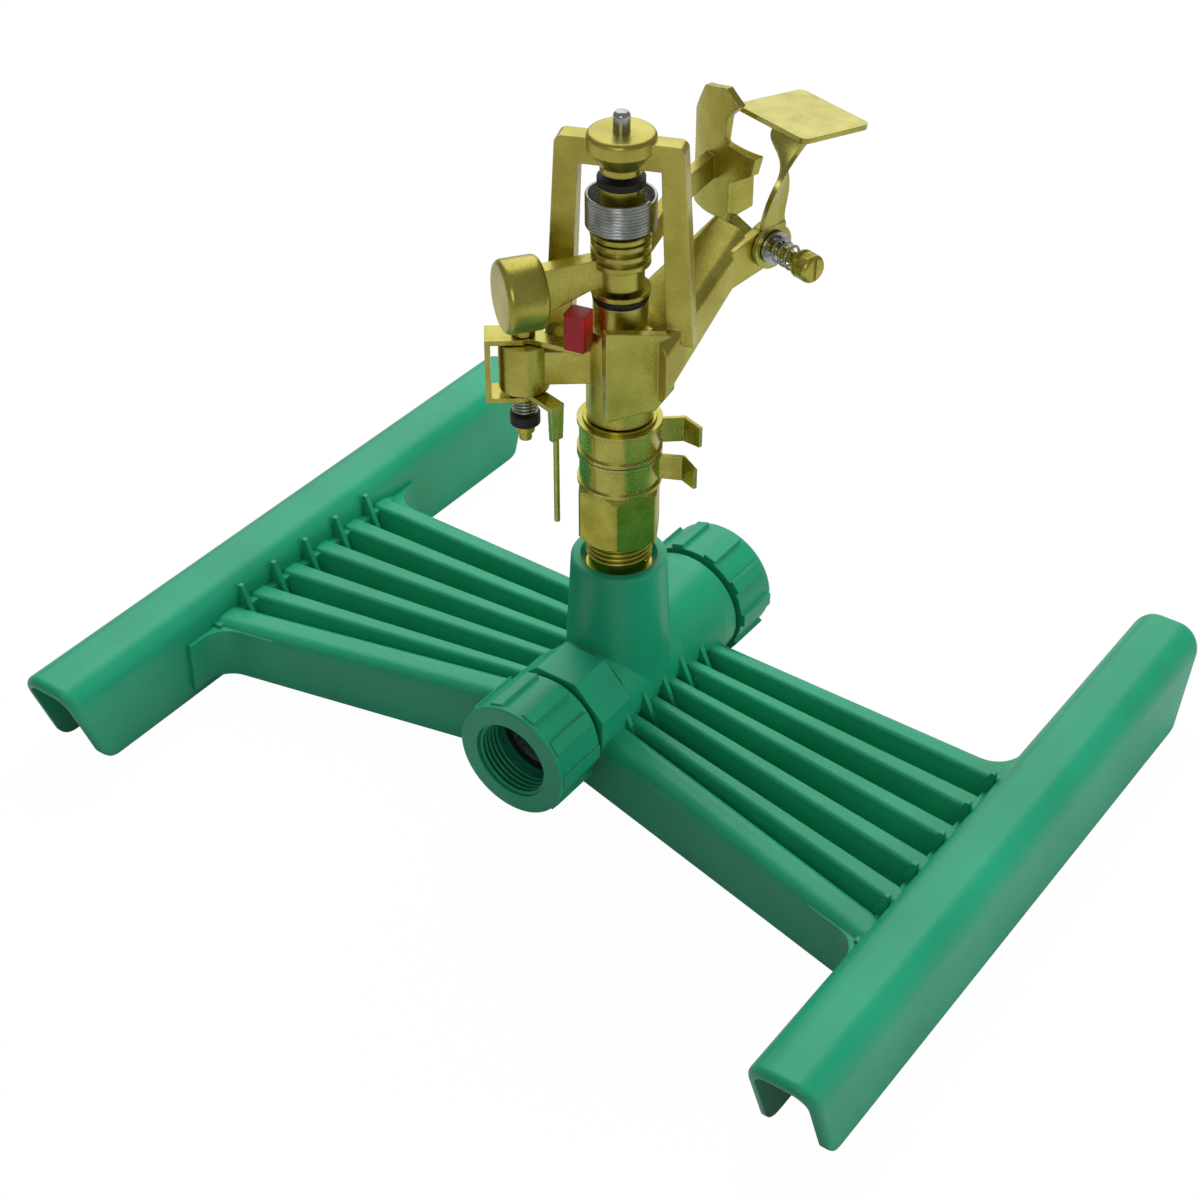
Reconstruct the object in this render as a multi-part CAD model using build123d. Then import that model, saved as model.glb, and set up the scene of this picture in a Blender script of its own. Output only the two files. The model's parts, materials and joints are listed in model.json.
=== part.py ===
from build123d import *
import math
import os

os.makedirs("parts", exist_ok=True)

# Part-circle impact sprinkler on a sled base, in millimetres.
# Origin on the ground under the riser axis, X across the sled, -Y towards the hose, +Z up.

# General fits
running_gap = 0.05
side_gap = 0.3

# Sled runners, inverted channels
runner_spacing = 277.5
runner_length = 246.0
runner_foot_length = 222.0
runner_width = 23.5
runner_height = 34.0
runner_wall = 3.2
runner_edge_radius = 8.5
runner_corner_radius = 8.0
runner_end_radius = 2.4

# Fluted bridges between hub and runners
skin = 2.4
flute_floor = 15.5
bridge_skirt_bottom = 4.0
ridge_count = 5
ridge_top_hub = 27.0
ridge_top_runner = 24.5
ridge_back_hub = 27.5
ridge_back_runner = 29.5
ridge_pitch_hub = 10.6
ridge_pitch_runner = 16.2
ridge_foot_hub = 8.4
ridge_foot_runner = 13.4
ridge_crown_hub = 3.8
ridge_crown_runner = 6.4
ridge_crown_radius = 1.6
bridge_back = 34.5
beam_front_hub = -30.5
beam_front_runner = -57.5
beam_crown = 11.0
beam_foot = 17.0
beam_edge_radius = 4.5
bridge_root_x = 6.0
end_flange_thickness = 3.0
end_flange_drop = 1.0
back_skirt_drop = 2.0
gusset_thickness = 1.8
gusset_length = 8.0
gusset_top_runner = 31.5
gusset_top_hub = 31.5
gusset_lip = 1.5
gusset_root = 7.0
hub_gusset_x = 17.0
corner_web_radius = 10.0
corner_web_length = 22.0
corner_web_reach = 13.0
corner_web_top = 22.5
flange_edge = 1.8
tongue_width = 9.0
tongue_thickness = 4.0
tongue_reach = 8.0
tongue_places = (-46.0, 20.0)
tongue_drop = 2.0

# Hose barrel, along Y
hose_axis_z = 28.0
waterway_radius = 9.5
barrel_radius = 17.0
barrel_flare_radius = 19.2
barrel_flare_start = 14.0
barrel_flare_end = 35.0
barrel_back = 41.0
collar_flats = 36.0
collar_front = -34.0
collar_back = -16.0
collar_chamfer = 2.5

# Riser boss
boss_top = 74.0
boss_radius = 15.2
boss_foot_radius = 17.5
boss_rim_radius = 1.2
boss_mouth_radius = 12.2
boss_mouth_depth = 3.0

# Hose inlet, three-quarter inch parallel thread
hose_thread_radius = 13.22
nut_front = -58.0
nut_back = -35.0
nut_radius = 18.8
nut_rim_height = 0.8
nut_rim_length = 2.2
nut_ridge_count = 10
nut_ridge_height = 1.3
nut_ridge_width = 4.6
nut_thread_length = 11.5
nut_lip = 3.5
neck_radius = 11.5
neck_flange_radius = 13.0
neck_flange_thickness = 3.0
washer_thickness = 2.6
screen_radius = 10.2
screen_rise = 2.0
screen_thickness = 0.6

# Rear end cap on a threaded spigot
spigot_radius = 13.1
spigot_length = 15.0
cap_radius = 20.0
cap_length = 19.0
cap_wall = 3.0
cap_ridge_count = 10
cap_ridge_height = 1.3
cap_ridge_width = 4.4
cap_gap = 2.0
cap_seal_thickness = 2.4

# Bearing nipple, half inch parallel thread
nipple_thread_radius = 10.48
nipple_root_radius = 9.5
nipple_bottom = 56.3
nipple_bore_radius = 8.0
hex_bottom = 82.5
hex_top = 102.5
hex_flats = 24.0
hex_chamfer = 1.6
nipple_neck_radius = 11.2
nipple_neck_top = 126.0

# Trip collars
trip_collar_height = 11.0
trip_collar_wall = 1.1
trip_collar_bead = 0.7
trip_tab_reach = 23.0
trip_tab_thickness = 1.2
trip_tab_height = 8.5
trip_tab_fold = 7.0
upper_tab_heading = 40.0
lower_tab_heading = 26.0

# Rotating head, body casting
tube_radius = 10.2
sleeve_wall = 2.0
sleeve_bottom = 51.5
sleeve_flange_radius = 9.4
sleeve_flange_thickness = 1.8
sleeve_socket_depth = 8.0
body_top = 166.0
body_neck_radius = 8.2
barrel_heading = 74.0
barrel_rise = 30.0
barrel_root_z = 147.0
barrel_root_width = 28.0
barrel_root_height = 19.0
barrel_root_side = -5.0
barrel_end_along = 40.0
barrel_end_width = 16.0
barrel_end_height = 15.0
barrel_end_side = -1.0
jet_bore_radius = 4.8
ear_along = 48.0
ear_radius = 7.0
ear_thickness = 3.0
ear_side = -10.5
ear_z = 171.5
nozzle_hex_flats = 10.4
nozzle_mouth_radius = 2.2
nozzle_stand_out = 3.0
pad_heading = -30.0
pad_offset = 11.2
pad_thickness = 3.0
pad_width = 22.0
pad_bottom = 134.0
pad_top = 164.0
pad_drop = 6.0
pad_notch = 6.0

# Yoke that holds the fulcrum pin
yoke_heading = 22.0
yoke_thickness = 6.0
yoke_base_reach = 22.5
yoke_top_reach = 18.6
yoke_leg_base_width = 8.0
yoke_leg_top_width = 6.5
yoke_bar = 8.0
yoke_right_base = 154.0
yoke_left_base = 146.0
yoke_disc_edge = 1.6
yoke_disc_depth = 3.0
yoke_boss_radius = 6.2
yoke_boss_drop = 2.4
yoke_disc_radius = 10.0
yoke_disc_rise = 2.0
pin_radius = 2.5
pin_stand_out = 6.0
pin_bottom = 158.5

# Stack on the fulcrum pin
seal_ring_radius = 8.4
seal_ring_height = 2.6
thrust_washer_radius = 8.8
thrust_washer_thickness = 1.4
arm_hub_lift = 1.2
arm_hub_height = 15.8
arm_hub_radius = 7.0
arm_hub_ring_radius = 8.8
arm_hub_ring_count = 3
arm_bush_wall = 1.2
spring_radius = 10.4
spring_wall = 1.1
spring_lift = 2.1
spring_height = 11.0
spool_radius = 6.4
spool_flange_radius = 9.0
spool_flange_height = 1.4
spool_height = 15.7
buffer_radius = 7.0
buffer_height = 2.2
yoke_room = 3.8

# Drive arm
weight_heading = 234.0
weight_start = 24.0
weight_length = 12.5
weight_radius = 11.0
weight_z = 172.5
weight_beam_thickness = 5.0
weight_beam_root_height = 10.0
weight_beam_end_height = 15.0
spoon_beam_heading = 96.0
spoon_beam_thickness = 3.4
spoon_beam_height = 8.0
spoon_beam_rise = 9.0
spoon_beam_rise_end = 36.0
spoon_along = 52.0
spoon_curve = 24.0
spoon_crown = 20.0
spoon_thickness = 2.4
spoon_bottom = 168.0
spoon_top = 211.0
spoon_left = 30.0
spoon_right = 13.0
spoon_prong_right = 5.5

# Jet deflector
flap_neck_width = 13.0
flap_corner_radius = 2.5
flap_thickness = 1.6
flap_eye_radius = 7.0
flap_plate_near = 58.0
flap_plate_far = 85.0
flap_plate_left = 18.0
flap_plate_z = 203.0
flap_plate_drop = 3.0
flap_stem_width = 9.0
screw_radius = 2.0
screw_length = 17.0
knob_radius = 4.4
knob_length = 7.0
knob_edge = 1.5
knob_slot = 1.2
deflector_washer_radius = 5.2
deflector_washer_thickness = 1.0
deflector_spring_radius = 3.4
deflector_spring_wire = 0.9
deflector_spring_turns = 3

# Reversing mechanism on its vertical pivot rod
pivot_x = -22.5
pivot_y = -17.5
housing_radius = 7.6
housing_bottom = 137.0
housing_top = 152.8
housing_arm_width = 9.0
housing_arm_bottom = 139.5
housing_arm_top = 150.5
rod_radius = 2.0
rod_bottom = 118.0
rod_head_radius = 3.6
rod_head_height = 2.6
plate_gap = 0.3
trigger_sheet = 1.6
trigger_reach = 11.5
trigger_eye_radius = 3.9
trigger_strip_width = 9.0
trigger_web_height_gap = 5.6
trigger_arm_width = 5.0
bumper_x = -5.0
bumper_y = -14.0
bumper_size = 7.0
bumper_height = 13.0
trip_plate_thickness = 1.6
trip_wire_x = -8.0
trip_wire_y = -21.0
trip_wire_radius = 0.9
trip_wire_bottom = 95.0
trip_arm_width = 5.0
rubber_radius = 4.6
rubber_height = 3.4
pivot_nut_radius = 2.9
pivot_nut_height = 3.0
trigger_spring_radius = 3.6
trigger_spring_wire = 0.7
trigger_spring_turns = 4

# Worked-out places
arm_hub_bottom = body_top + seal_ring_height + thrust_washer_thickness + arm_hub_lift
arm_hub_top = arm_hub_bottom + arm_hub_height
spool_bottom = arm_hub_top + side_gap
spool_top = spool_bottom + spool_height
spring_bottom = spool_bottom + spring_lift
yoke_top = spool_top + buffer_height + yoke_room + yoke_bar
yoke_disc_top = yoke_top + yoke_disc_rise
pin_top = yoke_disc_top + pin_stand_out
runner_inner_wall = runner_spacing / 2 - runner_width / 2
bridge_end = runner_inner_wall
jet_slope = math.tan(math.radians(barrel_rise))
neck_flange_back = nut_back - nut_lip - side_gap
relief_front = nut_front + nut_thread_length
floor_low = flute_floor - skin
tongue_z = floor_low - tongue_drop


def direction(heading):
    """Unit vector on the ground at a heading in degrees from +X towards +Y."""
    angle = math.radians(heading)
    return Vector(math.cos(angle), math.sin(angle), 0)


def upright_plane(x, y, heading):
    """Plane whose X runs along the heading and whose Y runs up."""
    along = direction(heading)
    side = Vector(along.Y, -along.X, 0)
    return Plane(origin=(x, y, 0), x_dir=along, z_dir=side)


def outline(plane, points, radius=0.0):
    """Face from corner points, all corners rounded by the radius if it is given."""
    face = make_face(Polyline(*points, close=True))
    if radius > 0:
        face = fillet(face.vertices(), radius)
    return plane * face


def upright_plate(x, y, heading, points, thickness, radius=0.0):
    """Plate of even thickness standing in the upright plane."""
    return extrude(outline(upright_plane(x, y, heading), points, radius), thickness / 2, both=True)


def level_plate(points, bottom, thickness, radius=0.0):
    """Plate of even thickness lying level, from its plan outline."""
    return extrude(outline(Plane.XY.offset(bottom), points, radius), thickness)


def post(radius, bottom, top, x=0.0, y=0.0):
    """Upright round bar from its bottom to its top."""
    return Pos(x, y, (bottom + top) / 2) * Cylinder(radius, top - bottom)


def tube(outer, inner, bottom, top, x=0.0, y=0.0):
    """Upright round tube."""
    return post(outer, bottom, top, x, y) - post(inner, bottom - 1, top + 1, x, y)


def hose_bar(radius, front, back):
    """Round bar on the hose axis from its front to its back."""
    return Pos(0, (front + back) / 2, hose_axis_z) * Rot(90, 0, 0) * Cylinder(radius, back - front)


def hose_tube(outer, inner, front, back):
    """Round tube on the hose axis."""
    return hose_bar(outer, front, back) - hose_bar(inner, front - 1, back + 1)


def bar_between(start, end, radius):
    """Round bar between two points."""
    start = Vector(*start)
    end = Vector(*end)
    span = end - start
    plane = Plane(origin=start, z_dir=span)
    return extrude(plane * Circle(radius), span.length)


def coil(radius, wire, turns, height, place):
    """Round-wire coil along its own Z, moved to its place."""
    path = Helix(pitch=height / turns, height=height, radius=radius)
    section = Plane(origin=path @ 0, z_dir=path % 0) * Circle(wire)
    return place * sweep(section, path=path, is_frenet=True)


def ridges(count, radius, height, width, front, back):
    """Grip ridges round the hose axis."""
    result = []
    for index in range(count):
        angle = 360.0 / count * (index + 0.5)
        bar = Pos(0, (front + back) / 2, radius + height / 2 - 1) * Box(width, back - front, height + 2)
        result.append(Pos(0, 0, hose_axis_z) * Rot(0, angle, 0) * bar)
    return result


# Sled

def runner(side):
    """Inverted channel with slanted ends, rounded over, and slots for the bridge tongues."""
    half_top = runner_length / 2
    half_foot = runner_foot_length / 2
    centre = side * runner_spacing / 2
    plane = upright_plane(centre, 0, 90)
    shape = [(-half_foot, 0), (half_foot, 0), (half_top, runner_height),
             (-half_top, runner_height)]
    body = extrude(outline(plane, shape), runner_width / 2, both=True)
    body = fillet(body.edges().filter_by(Axis.Y).group_by(Axis.Z)[-1], runner_edge_radius)
    end_faces = [f for f in body.faces() if abs(f.normal_at().Y) > 0.8]
    end_edges = [e for f in end_faces for e in f.edges() if e.center().Z > 0.01]
    body = fillet(end_edges, runner_end_radius)
    rounded = make_face(Polyline(*shape, close=True))
    rounded = fillet([v for v in rounded.vertices() if v.Y < 1], runner_corner_radius)
    body = body & extrude(plane * rounded, runner_width, both=True)
    hollow_height = runner_height - runner_wall
    hollow_width = runner_width - 2 * runner_wall
    hollow = Box(hollow_width, 2 * max(half_top, half_foot) + 20, hollow_height + 2)
    hollow = Pos(centre, 0, hollow_height / 2 - 1) * hollow
    upper = hollow.edges().filter_by(Axis.Y).group_by(Axis.Z)[-1]
    hollow = fillet(upper, runner_edge_radius - runner_wall)
    body = body - hollow
    slot_x = side * (runner_inner_wall + runner_wall / 2)
    for place in tongue_places:
        slot = Box(runner_wall + 2, tongue_width + 2 * side_gap, tongue_thickness + 2 * side_gap)
        body = body - Pos(slot_x, place, tongue_z) * slot
    return body


def flute(side, hub_points, runner_points, radius, end):
    """Ruled bar from hub to runner between two outlines of (Y, Z) corners."""
    sections = []
    for x, points in ((bridge_root_x, hub_points), (end, runner_points)):
        face = make_face(Polyline(*points, close=True))
        if radius > 0:
            high = max(z for y, z in points)
            face = fillet([v for v in face.vertices() if v.Y > high - 0.01], radius)
        sections.append(Plane(origin=(side * x, 0, 0), x_dir=(0, 1, 0), z_dir=(1, 0, 0)) * face)
    return loft(sections)


def ridge(side, index, inset, bottom, end):
    """One tapered ridge, or its hollow when it is inset by the skin."""
    outlines = []
    for back, pitch, foot, crown, top in (
            (ridge_back_hub, ridge_pitch_hub, ridge_foot_hub, ridge_crown_hub, ridge_top_hub),
            (ridge_back_runner, ridge_pitch_runner, ridge_foot_runner, ridge_crown_runner,
             ridge_top_runner)):
        middle = back - index * pitch
        half_foot = foot / 2 - inset
        half_crown = (crown - inset) / 2
        outlines.append([(middle - half_foot, bottom), (middle + half_foot, bottom),
                         (middle + half_crown, top - inset), (middle - half_crown, top - inset)])
    return flute(side, *outlines, 0 if inset else ridge_crown_radius, end)


def front_beam(side, inset, bottom, end):
    """The beam along the bridge's front, or its hollow when it is inset by the skin."""
    outlines = []
    crown = beam_crown - 1.5 * inset
    foot = beam_foot - 2 * inset
    for edge, top in ((beam_front_hub, ridge_top_hub), (beam_front_runner, ridge_top_runner)):
        front = edge + inset
        outlines.append([(front, bottom), (front, top - inset), (front + crown, top - inset),
                         (front + foot, bottom)])
    return flute(side, *outlines, 0 if inset else beam_edge_radius, end)


def corner_web(side, edge_hub, edge_runner, outward):
    """Web that rounds the corner between a bridge's edge and its runner."""
    fall = (edge_hub - edge_runner) / (bridge_end - bridge_root_x)
    tip_x = side * (bridge_end - corner_web_length)
    tip = edge_runner + fall * corner_web_length
    face_x = side * (bridge_end - flange_edge)
    inside = edge_runner + fall * flange_edge
    reach = edge_runner + outward * corner_web_reach
    plan = [(tip_x, tip - outward * 2), (tip_x, tip), (face_x, inside), (face_x, reach),
            (side * bridge_end, reach), (side * bridge_end, edge_runner - outward * 2)]
    web = make_face(Polyline(*plan, close=True))
    corner = [v for v in web.vertices() if abs(v.X - face_x) < 0.01 and abs(v.Y - inside) < 0.01]
    web = Plane.XY.offset(bridge_skirt_bottom) * fillet(corner, corner_web_radius)
    return extrude(web, corner_web_top - bridge_skirt_bottom)


def valley_gussets(side, index):
    """Upright gussets at both ends of the valley in front of a ridge."""
    low = flute_floor - 0.5
    end = bridge_end
    at_wall = [(end - gusset_length, low), (end, low), (end, gusset_top_runner),
               (end - gusset_lip, gusset_top_runner)]
    root = hub_gusset_x - gusset_root
    at_hub = [(root, low), (hub_gusset_x + gusset_length, low), (hub_gusset_x, gusset_top_hub),
              (root, gusset_top_hub)]
    gussets = []
    for back, pitch, points in ((ridge_back_runner, ridge_pitch_runner, at_wall),
                                (ridge_back_hub, ridge_pitch_hub, at_hub)):
        place = back - (index + 0.5) * pitch
        mirrored = [(side * x, z) for x, z in points]
        gussets.append(upright_plate(0, place, 0, mirrored, gusset_thickness))
    return gussets


def fan_bridge(side):
    """Fluted shell of one bridge, and the flange, gussets, webs and tongues that stand on it."""
    root = bridge_root_x
    end = bridge_end
    inner_end = end - end_flange_thickness
    front_hub = beam_front_hub
    front_runner = beam_front_runner
    floor_plan = [(side * root, front_hub), (side * end, front_runner), (side * end, bridge_back),
                  (side * root, bridge_back)]
    shell = level_plate(floor_plan, floor_low, skin)
    for index in range(ridge_count):
        shell = shell + ridge(side, index, 0, floor_low, end)
    shell = shell + front_beam(side, 0, floor_low, end)
    front_skirt = [(side * root, front_hub), (side * end, front_runner),
                   (side * end, front_runner + skin), (side * root, front_hub + skin)]
    back_skirt = [(side * root, bridge_back - skin), (side * end, bridge_back - skin),
                  (side * end, bridge_back), (side * root, bridge_back)]
    back_height = ridge_top_runner - back_skirt_drop - bridge_skirt_bottom
    shell = shell + level_plate(front_skirt, bridge_skirt_bottom, flute_floor - bridge_skirt_bottom)
    shell = shell + level_plate(back_skirt, bridge_skirt_bottom, back_height)
    hollows = [ridge(side, index, skin, floor_low - 1, inner_end) for index in range(ridge_count)]
    hollows.append(front_beam(side, skin, floor_low - 1, inner_end))
    shell = shell - hollows
    flange_top = ridge_top_runner - end_flange_drop
    flange = Box(end_flange_thickness, bridge_back - front_runner, flange_top - bridge_skirt_bottom)
    parts = [Pos(side * (end - end_flange_thickness / 2), (front_runner + bridge_back) / 2,
                 (flange_top + bridge_skirt_bottom) / 2) * flange]
    for index in range(ridge_count):
        parts.extend(valley_gussets(side, index))
    parts.append(corner_web(side, bridge_back, bridge_back, 1))
    parts.append(corner_web(side, front_hub, front_runner, -1))
    tongue = Box(tongue_reach, tongue_width, tongue_thickness)
    for place in tongue_places:
        parts.append(Pos(side * (end + tongue_reach / 2 - 1), place, tongue_z) * tongue)
    return shell, parts


def hub_barrel():
    """Round barrel on the hose axis, flared towards the rear cap."""
    profile = [(0, collar_back - 1), (barrel_radius, collar_back - 1),
               (barrel_radius, barrel_flare_start), (barrel_flare_radius, barrel_flare_end),
               (barrel_flare_radius, barrel_back), (0, barrel_back)]
    face = Plane.XY.offset(hose_axis_z) * make_face(Polyline(*profile, close=True))
    return revolve(face, axis=Axis((0, 0, hose_axis_z), (0, 1, 0)))


def centre_moulding():
    """Hose barrel, riser boss and both fluted bridges in one moulding."""
    octagon = RegularPolygon(collar_flats / 2, 8, major_radius=False, rotation=22.5)
    collar = extrude(octagon, (collar_back - collar_front) / 2, both=True)
    collar = Pos(0, (collar_front + collar_back) / 2, hose_axis_z) * Rot(90, 0, 0) * collar
    collar = chamfer(collar.edges().group_by(Axis.Y)[-1], collar_chamfer)
    neck_front = neck_flange_back - neck_flange_thickness
    neck = hose_bar(neck_radius, neck_front, collar_front + 1)
    flange = hose_bar(neck_flange_radius, neck_front, neck_flange_back)
    spigot = hose_bar(spigot_radius, barrel_back - 1, barrel_back + spigot_length)
    boss = Cone(boss_foot_radius, boss_radius, boss_top - hose_axis_z)
    boss = Pos(0, 0, (boss_top + hose_axis_z) / 2) * boss
    boss = fillet(boss.edges().group_by(Axis.Z)[-1], boss_rim_radius)
    body = hub_barrel() + collar + neck + flange + spigot + boss
    for side in (-1, 1):
        shell, parts = fan_bridge(side)
        body = body + shell + parts
    body = body - hose_bar(waterway_radius, nut_front, barrel_back + spigot_length + 1)
    body = body - post(waterway_radius, hose_axis_z, nipple_bottom - 5)
    body = body - post(nipple_thread_radius + running_gap, nipple_bottom - 6, boss_top + 1)
    mouth = Cone(nipple_thread_radius + running_gap, boss_mouth_radius, boss_mouth_depth)
    return body - Pos(0, 0, boss_top - boss_mouth_depth / 2 + 0.01) * mouth


def inlet_nut():
    """Swivel hose nut with grip ridges, rolled rim, thread bore, relief and rear lip."""
    body = hose_bar(nut_radius, nut_front, nut_back)
    body = chamfer(body.edges().filter_by(GeomType.CIRCLE).group_by(Axis.Y)[-1], 2.0)
    rim = hose_bar(nut_radius + nut_rim_height, nut_front, nut_front + nut_rim_length)
    body = body + fillet(rim.edges().filter_by(GeomType.CIRCLE), 0.7)
    body = body + ridges(nut_ridge_count, nut_radius, nut_ridge_height, nut_ridge_width,
                         nut_front + 1.5, nut_back - 3)
    body = body - hose_bar(hose_thread_radius, nut_front - 1, relief_front + 0.01)
    body = body - hose_bar(neck_flange_radius + 0.6, relief_front, nut_back - nut_lip)
    return body - hose_bar(neck_radius + side_gap, nut_front, nut_back + 1)


def hose_washer():
    """Flat rubber washer in front of the neck flange."""
    back = neck_flange_back - neck_flange_thickness
    return hose_tube(neck_flange_radius, waterway_radius - 1, back - washer_thickness, back)


def filter_screen():
    """Shallow dome of mesh held by the washer."""
    front = neck_flange_back - neck_flange_thickness - washer_thickness
    sphere_radius = (screen_radius ** 2 + screen_rise ** 2) / (2 * screen_rise)
    centre_y = front - screen_rise + sphere_radius
    ball = Sphere(sphere_radius) - Sphere(sphere_radius - screen_thickness)
    ball = Pos(0, centre_y, hose_axis_z) * ball
    return ball & hose_bar(screen_radius, front - screen_rise - 1, front)


def end_cap():
    """Ridged cap over the rear spigot."""
    front = barrel_back + cap_gap
    back = front + cap_length
    body = hose_bar(cap_radius, front, back)
    body = fillet(body.edges().filter_by(GeomType.CIRCLE).group_by(Axis.Y)[-1], 2.0)
    body = body + ridges(cap_ridge_count, cap_radius, cap_ridge_height, cap_ridge_width, front,
                         back - 3)
    return body - hose_bar(spigot_radius + side_gap, front - 1, back - cap_wall)


def end_cap_seal():
    """Rubber ring squeezed between the spigot's end and the cap."""
    back = barrel_back + cap_gap + cap_length - cap_wall
    return hose_tube(spigot_radius - 0.3, waterway_radius, back - cap_seal_thickness, back)


# Bearing and trip collars

def bearing_nipple():
    """Threaded shank, hexagon and round neck with the bearing bore."""
    shank = post(nipple_thread_radius, nipple_bottom, boss_top - boss_mouth_depth)
    root = post(nipple_root_radius, boss_top - boss_mouth_depth - 1, hex_bottom + 1)
    hexagon = RegularPolygon(hex_flats / 2, 6, major_radius=False)
    hexagon = Pos(0, 0, hex_bottom) * extrude(hexagon, hex_top - hex_bottom)
    corner = hex_flats / 2 / math.cos(math.radians(30))
    crown = post(corner - 0.3, hex_bottom, hex_top)
    crown = chamfer(crown.edges().filter_by(GeomType.CIRCLE), hex_chamfer)
    neck = post(nipple_neck_radius, hex_top - 1, nipple_neck_top)
    body = shank + root + (hexagon & crown) + neck
    return body - post(nipple_bore_radius, nipple_bottom - 1, nipple_neck_top + 1)


def trip_collar(bottom, tab_heading, fold_sign):
    """Thin sheet collar with rolled edges and one folded stop tab."""
    inner = nipple_neck_radius + running_gap
    outer = inner + trip_collar_wall
    top = bottom + trip_collar_height
    band = tube(outer, inner, bottom, top)
    band = band + tube(outer + trip_collar_bead, inner, bottom, bottom + 1.2)
    band = band + tube(outer + trip_collar_bead, inner, top - 1.2, top)
    middle = (bottom + top) / 2
    low = middle - trip_tab_height / 2
    high = middle + trip_tab_height / 2
    reach = trip_tab_reach
    sheet = [(inner + 0.4, low), (reach - 3, low), (reach - 3, high), (inner + 0.4, high)]
    leaf = upright_plate(0, 0, tab_heading, sheet, trip_tab_thickness)
    corner = direction(tab_heading) * (reach - 3.4)
    fold_heading = tab_heading + fold_sign * 50
    sheet = [(0, low), (trip_tab_fold, low + 0.8), (trip_tab_fold, high - 0.8), (0, high)]
    fold = upright_plate(corner.X, corner.Y, fold_heading, sheet, trip_tab_thickness)
    return band + leaf + fold


# Rotating head

def bearing_sleeve():
    """Hollow stem that turns in the nipple, with its lower flange."""
    outer = nipple_bore_radius - running_gap
    top = nipple_neck_top + 0.4 + sleeve_socket_depth
    flange = post(sleeve_flange_radius, sleeve_bottom, sleeve_bottom + sleeve_flange_thickness)
    stem = post(outer, sleeve_bottom, top) + flange
    return stem - post(outer - sleeve_wall, sleeve_bottom - 1, top + 1)


def bearing_washers():
    """Two sealing washers between the sleeve's flange and the nipple."""
    bottom = sleeve_bottom + sleeve_flange_thickness
    thickness = (nipple_bottom - bottom) / 2
    inner = nipple_bore_radius + side_gap
    lower = tube(sleeve_flange_radius, inner, bottom, bottom + thickness)
    upper = tube(sleeve_flange_radius, inner, bottom + thickness, nipple_bottom)
    return lower, upper


def barrel_section(along, side, z, width, height, radius):
    """Rounded section of the nozzle barrel in its own upright plane."""
    base = direction(barrel_heading) * along
    left = direction(barrel_heading + 90)
    origin = base + left * side
    plane = Plane(origin=(origin.X, origin.Y, z), x_dir=left, z_dir=direction(barrel_heading))
    return plane * RectangleRounded(width, height, radius)


def barrel_point(along, left, z):
    """Point in the barrel's own directions: along the jet, to its left, and up."""
    place = direction(barrel_heading) * along + direction(barrel_heading + 90) * left
    return (place.X, place.Y, z)


def jet_z(along):
    """Height of the jet's centre line at a distance from the riser axis."""
    return barrel_root_z + along * jet_slope


def yoke():
    """A-shaped frame with a disc on top for the fulcrum pin."""
    window_top = yoke_top - yoke_bar
    outer = [(-yoke_base_reach, yoke_left_base), (-yoke_top_reach, yoke_top),
             (yoke_top_reach, yoke_top), (yoke_base_reach, yoke_right_base),
             (yoke_base_reach - yoke_leg_base_width, yoke_right_base),
             (yoke_top_reach - yoke_leg_top_width, window_top),
             (-yoke_top_reach + yoke_leg_top_width, window_top),
             (-yoke_base_reach + yoke_leg_base_width, yoke_left_base)]
    frame = upright_plate(0, 0, yoke_heading, outer, yoke_thickness)
    corners = [e for e in frame.edges()
               if e.center().Z > yoke_top - 0.5 and e.length < yoke_thickness + 0.1]
    frame = fillet(corners, 2.5)
    foot = [(-yoke_base_reach, yoke_left_base), (0, yoke_left_base - 6), (0, yoke_left_base + 4),
            (-yoke_base_reach + yoke_leg_base_width + 1, yoke_left_base + 7)]
    frame = frame + upright_plate(0, 0, yoke_heading, foot, yoke_thickness)
    disc_bottom = yoke_top - yoke_disc_depth
    disc = post(yoke_disc_radius, disc_bottom, yoke_disc_top)
    disc = fillet(disc.edges().group_by(Axis.Z)[-1], yoke_disc_edge)
    cone_height = yoke_bar - yoke_disc_depth
    cone = Cone(yoke_boss_radius, yoke_disc_radius - 0.5, cone_height)
    disc = disc + Pos(0, 0, disc_bottom - cone_height / 2) * cone
    boss_bottom = yoke_top - yoke_bar - yoke_boss_drop
    boss = post(yoke_boss_radius, boss_bottom, yoke_top - 1)
    boss = chamfer(boss.edges().group_by(Axis.Z)[0], 0.6)
    return frame + disc + boss


def rear_pad():
    """Bare cast pad beside the riser, standing on its block."""
    half = pad_width / 2
    shape = [(-half, pad_bottom), (half - pad_notch, pad_bottom), (half, pad_bottom + pad_notch),
             (half, pad_top - pad_drop), (-half, pad_top)]
    middle = direction(pad_heading) * (pad_offset + pad_thickness / 2)
    plate = upright_plate(middle.X, middle.Y, pad_heading + 90, shape, pad_thickness, 0.8)
    block_height = pad_top - pad_drop - pad_bottom - 6
    block = Box(pad_offset + 1, pad_width - 8, block_height)
    block = Pos(pad_offset / 2 + 0.5, 0, pad_bottom + 3 + block_height / 2) * block
    return plate + Rot(0, 0, pad_heading) * block


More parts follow.
